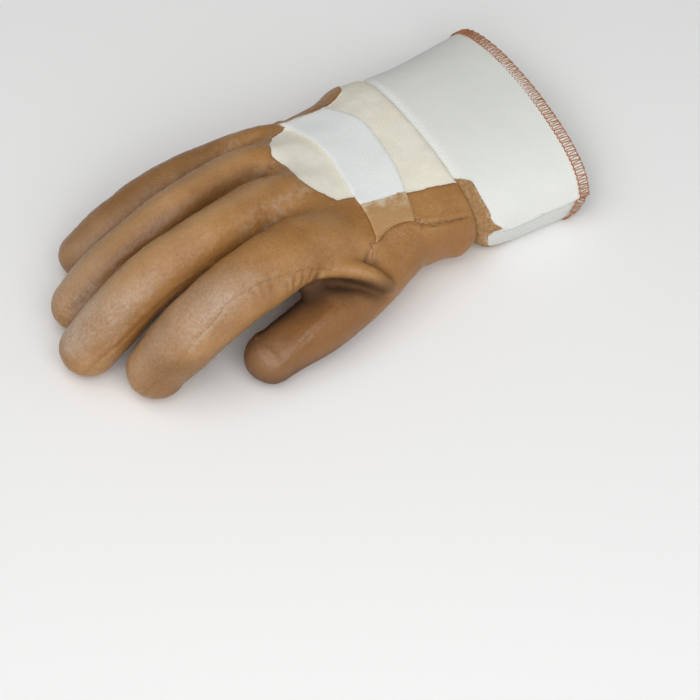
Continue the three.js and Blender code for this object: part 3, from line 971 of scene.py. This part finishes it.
class Finish:
    """A material built from its layers."""

    def __init__(self, name):
        self.material = bpy.data.materials.new(name)
        self.material.use_nodes = True
        self.tree = self.material.node_tree
        self.where = self.put("ShaderNodeTexCoord").outputs["Object"]

    def put(self, kind, settings=None, **inputs):
        made = self.tree.nodes.new(kind)
        for name, value in (settings or {}).items():
            setattr(made, name, value)
        return self.feed(made, {name.replace("_", " "): value for name, value in inputs.items()})

    def feed(self, made, inputs):
        """Sets a node's inputs: a string stands for the number noted under it, a tuple for a colour."""
        for name, value in inputs.items():
            if isinstance(value, str):
                value = self.put("ShaderNodeAttribute", {"attribute_name": value}).outputs["Fac"]
            if isinstance(value, tuple):
                value = srgb(*value)
            if isinstance(value, bpy.types.NodeSocket):
                self.tree.links.new(value, made.inputs[name])
            else:
                made.inputs[name].default_value = value
        return made

    def done(self, colour, roughness, relief):
        self.feed(self.tree.nodes["Principled BSDF"],
                  {"Base Color": colour, "Roughness": roughness, "Normal": relief})
        return self.material

    def lumps(self, size, detail=2.0, rough=0.5):
        """Noise whose lumps are about size millimetres across, 0 to 1."""
        return self.put("ShaderNodeTexNoise", Vector=self.where, Scale=1000 / size, Detail=detail,
                        Roughness=rough).outputs[0]

    def swing(self, height, *lumps):
        """The same noise round 0."""
        return self.times(self.work("SUBTRACT", self.lumps(*lumps), 0.5), height)

    def work(self, kind, a, b=0.0):
        return self.feed(self.put("ShaderNodeMath", {"operation": kind}), {0: a, 1: b}).outputs[0]

    def plus(self, a, b):
        return self.work("ADD", a, b)

    def times(self, a, *others):
        for b in others:
            a = self.work("MULTIPLY", a, b)
        return a

    def ribs(self, along, pitch):
        """Waves from -1 to 1, one every pitch."""
        return self.work("SINE", self.times(along, 2 * math.pi / pitch))

    def span(self, value, low, high, to_low=0.0, to_high=1.0):
        made = self.put("ShaderNodeMapRange", {"interpolation_type": "SMOOTHSTEP"})
        self.feed(made, {"Value": value, "From Min": low, "From Max": high, "To Min": to_low, "To Max": to_high})
        return made.outputs[0]

    def mix(self, share, a, b, kind="RGBA"):
        first, result = {"FLOAT": (2, 0), "VECTOR": (4, 1), "RGBA": (6, 2)}[kind]
        made = self.put("ShaderNodeMix", {"data_type": kind})
        return self.feed(made, {0: share, first: a, first + 1: b}).outputs[result]

    def bump(self, height, depth, strength=1.0, under=None):
        """Relief of a height that goes from 0 to 1 over depth millimetres."""
        made = self.put("ShaderNodeBump", Height=height, Distance=depth / 1000, Strength=strength)
        return self.feed(made, {"Normal": under} if under else {}).outputs[0]


def rubber(f):
    """The dip's colour, roughness and relief."""
    mottle = f.lumps(1.9, 5, 0.62)
    shade = f.span("shade", 0.12, 0.85)
    patches = f.span(f.lumps(14, 3), 0.42, 0.62, 0.1, 0.6)
    dust = f.times(f.span(f.lumps(0.55, 2, 0.6), 0.6, 0.74), patches, f.work("SUBTRACT", 1.0, shade))
    bloom = f.times("bloom", f.span(f.lumps(3.5, 4, 0.65), 0.4, 0.7))
    # painted sheen on the fingers' upper sides towards their tips
    finger_sheen = f.times("finger_sheen", f.span(f.lumps(1.4, 4, 0.6), 0.3, 0.7, 0.34, 0.8))
    offset = f.work("ABSOLUTE", f.plus("seam_side", f.swing(0.35, 2.0, 2)))
    line = f.times(f.span(offset, 0.36, 0.06), f.span("seam_near", 2.6, 1.4),
                   f.span(f.lumps(5, 2), 0.3, 0.6, 0.3, 0.95))
    # each colour is laid over the ones before it: where, how much, which
    colour = (154, 106, 51)
    for where, share, over in (
        (f.span(f.lumps(26, 3), 0.35, 0.65), 1, (170, 122, 66)),
        (f.span(mottle, 0.52, 0.78), 0.45, (112, 72, 32)),
        (f.span(mottle, 0.47, 0.24), 0.4, (186, 142, 90)),
        (dust, 1, (216, 196, 170)),
        # painted highlight along the fingers' crests
        ("crest_highlight", 1, (198, 162, 120)),
        # painted shade down the fingers' flanks and over the little finger
        ("flank_shade", 1, (96, 62, 30)),
        (bloom, 0.58, (186, 160, 132)),
        # painted shade low on the near side, over the thumb and the heel
        ("thumb_side_shade", 0.55, (140, 88, 26)),
        (finger_sheen, 1, (204, 188, 171)),
        # painted shade under the fold at the thumb's root
        ("under_fold_shade", 0.42, (112, 72, 32)),
        # painted shade in the wide valleys between the fingers' bases
        (f.span("valley_shade", 0.3, 3.5), 0.4, (92, 58, 28)),
        (shade, 0.62, (90, 56, 26)),
        # painted shadow between the index finger and the thumb, and under the thumb
        ("cavity_shade", 0.8, (54, 30, 10)),
        # painted shade in small creases and hollows
        (f.span("hollow", 0.05, 0.7), 0.55, (98, 62, 30)),
        (line, 0.6, (88, 56, 30)),
    ):
        colour = f.mix(f.times(where, share), colour, over)
    hidden = f.work("MAXIMUM", f.span("shade", 0.1, 0.6), "cavity_shade")
    rough = f.mix(hidden, f.span(mottle, 0.35, 0.65, 0.34, 0.48), 0.85, "FLOAT")
    height = f.plus(f.times(mottle, 0.5), f.times(f.lumps(1.15, 4, 0.62), 0.45))
    relief = f.bump(f.work("SUBTRACT", 1.0, line), 0.25, 0.7, f.bump(height, 0.8, 0.62))
    return colour, rough, relief


def jersey(f):
    """Bare cream knit, brushed, with a few seed specks: colour and relief."""
    colour = f.mix(f.span(f.lumps(16, 3), 0.3, 0.7), (236, 231, 213), (241, 237, 222))
    fuzz = f.lumps(0.75, 4, 0.7)
    colour = f.mix(f.span(fuzz, 0.5, 0.72, 0, 0.6), colour, (218, 210, 189))
    specks = f.put("ShaderNodeTexVoronoi", Vector=f.where, Scale=1000 / 3.2).outputs["Distance"]
    speck = f.times(f.span(specks, 0.1, 0.03), f.span(f.lumps(3.2, 1), 0.6, 0.66))
    return f.mix(speck, colour, (168, 150, 116)), f.bump(fuzz, 0.45, 0.55)


def coat_finish():
    f = Finish("dipped_rubber")
    dip = f.plus("dip", f.swing(0.9, 0.9, 3))
    coated = f.span(dip, -0.08, 0.08)
    brown, rough, brown_relief = rubber(f)
    cream, cream_relief = jersey(f)
    brown = f.mix(f.times(f.span(dip, 1.6, 0.0), 0.35), brown, (122, 80, 44))
    relief = f.bump(coated, 0.35, 0.9, f.mix(coated, cream_relief, brown_relief, "VECTOR"))
    f.feed(f.tree.nodes["Principled BSDF"], {"Specular IOR Level": 0.62})
    return f.done(f.mix(coated, cream, brown), f.mix(coated, 0.95, rough, "FLOAT"), relief)


def lining_finish():
    f = Finish("jersey_lining")
    colour, relief = jersey(f)
    return f.done(colour, 0.95, relief)


def elastic_finish():
    f = Finish("ribbed_elastic")
    weave = f.plus(f.times(f.ribs("lengthwise", 0.85), 0.30), f.times(f.ribs("across", 1.05), 0.22))
    weave = f.plus(f.times(weave, 0.5), f.times(f.lumps(0.7, 3), 0.5))
    rib = f.span(weave, 0.0, 0.5)
    white = f.mix(rib, (230, 233, 231), (246, 248, 246))
    dip = f.plus("dip", f.swing(1.6, 1.3, 3))
    coated = f.span(dip, -0.1, 0.12)
    thin = f.times(f.span(f.lumps(6.5, 5, 0.68), 0.4, 0.62), f.span(dip, 9.0, 0.0), 0.62)
    tan = f.mix(thin, f.mix(rib, (168, 126, 78), (188, 149, 99)), (226, 214, 190))
    relief = f.bump(coated, 0.25, 0.7, f.bump(weave, 0.22, 0.6))
    return f.done(f.mix(coated, white, tan), f.mix(coated, 0.85, 0.6, "FLOAT"), relief)


def canvas_finish(name, pitch, lean, light, dark, coat=True):
    """Twill cloth: fine slanting ribs, laid on the cloth's own map, with the dip's ragged edge over it."""
    f = Finish(name)
    lean = math.radians(lean)
    cloth = f.put("ShaderNodeUVMap", {"uv_map": "cloth"}).outputs[0]
    across, along = f.put("ShaderNodeSeparateXYZ", Vector=cloth).outputs[:2]
    slant = f.plus(f.times(across, 1000 * math.sin(lean)), f.times(along, 1000 * math.cos(lean)))
    rib = f.ribs(f.plus(slant, f.times(f.lumps(18, 2), 1.2)), pitch)
    yarn = f.plus(f.times(rib, 0.5), f.times(f.ribs(f.times(across, 1000), 0.7), 0.18))
    yarn = f.plus(yarn, f.times(f.lumps(0.8, 3), 0.6))
    colour = f.mix(f.span(yarn, -0.3, 0.9), dark, light)
    colour = f.mix(f.span(f.lumps(30, 3), 0.35, 0.7, 0, 0.35), colour, dark)
    rough, relief = 0.9, f.bump(yarn, 0.16, 0.5)
    if coat:
        dip = f.plus("coat_edge", f.swing(2.4, 1.4, 4, 0.6))
        coated = f.span(dip, -0.15, 0.2)
        tan = f.mix(f.span(f.lumps(2.0, 4, 0.6), 0.4, 0.68), (152, 111, 66), (174, 134, 86))
        thin = f.times(f.span(dip, 2.5, 0.3), f.span(f.lumps(1.2, 3), 0.45, 0.6, 0, 0.7))
        colour = f.mix(coated, colour, f.mix(thin, tan, (206, 182, 146)))
        rough, relief = f.mix(coated, 0.9, 0.6, "FLOAT"), f.bump(coated, 0.3, 0.8, relief)
    return f.done(colour, rough, relief)


def thread_finish():
    f = Finish("rust_thread")
    twist = f.lumps(0.5, 2)
    colour = f.mix(f.span(twist, 0.35, 0.65), (152, 94, 54), (202, 140, 92))
    return f.done(colour, 0.7, f.bump(twist, 0.08, 0.6))


# The glove

set_camera()
set_studio()

hand = make_hand()
hand.data.materials.append(coat_finish())
hand.data.materials.append(lining_finish())
close_hand(hand)

band = make_elastic(hand)
band.data.materials.append(elastic_finish())

cuff, hem = make_cuff()
lay_cuff_cloth(cuff, hem)
back_canvas = canvas_finish("cuff_twill", 1.08, -16, (238, 239, 234), (226, 228, 222))
palm_canvas = canvas_finish("cuff_twill_palm", 0.9, 70, (223, 224, 220), (206, 208, 204))
inner_canvas = canvas_finish("cuff_inside", 1.2, -16, (238, 237, 230), (222, 221, 212), coat=False)
for canvas in (back_canvas, palm_canvas, inner_canvas, inner_canvas):
    cuff.data.materials.append(canvas)
hem = close_cuff(cuff, hem)

overlock = make_overlock(hem)
overlock.data.materials.append(thread_finish())

for piece, slot in ((hand, "coating"), (band, "elastic"), (cuff, "canvas"), (overlock, "canvas")):
    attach(piece, "root")
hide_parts("back_panel", "palm_panel", "thumb_back", "thumb_palm", "bare_back")
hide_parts("elastic_band")
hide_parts("cuff_back", "cuff_palm")
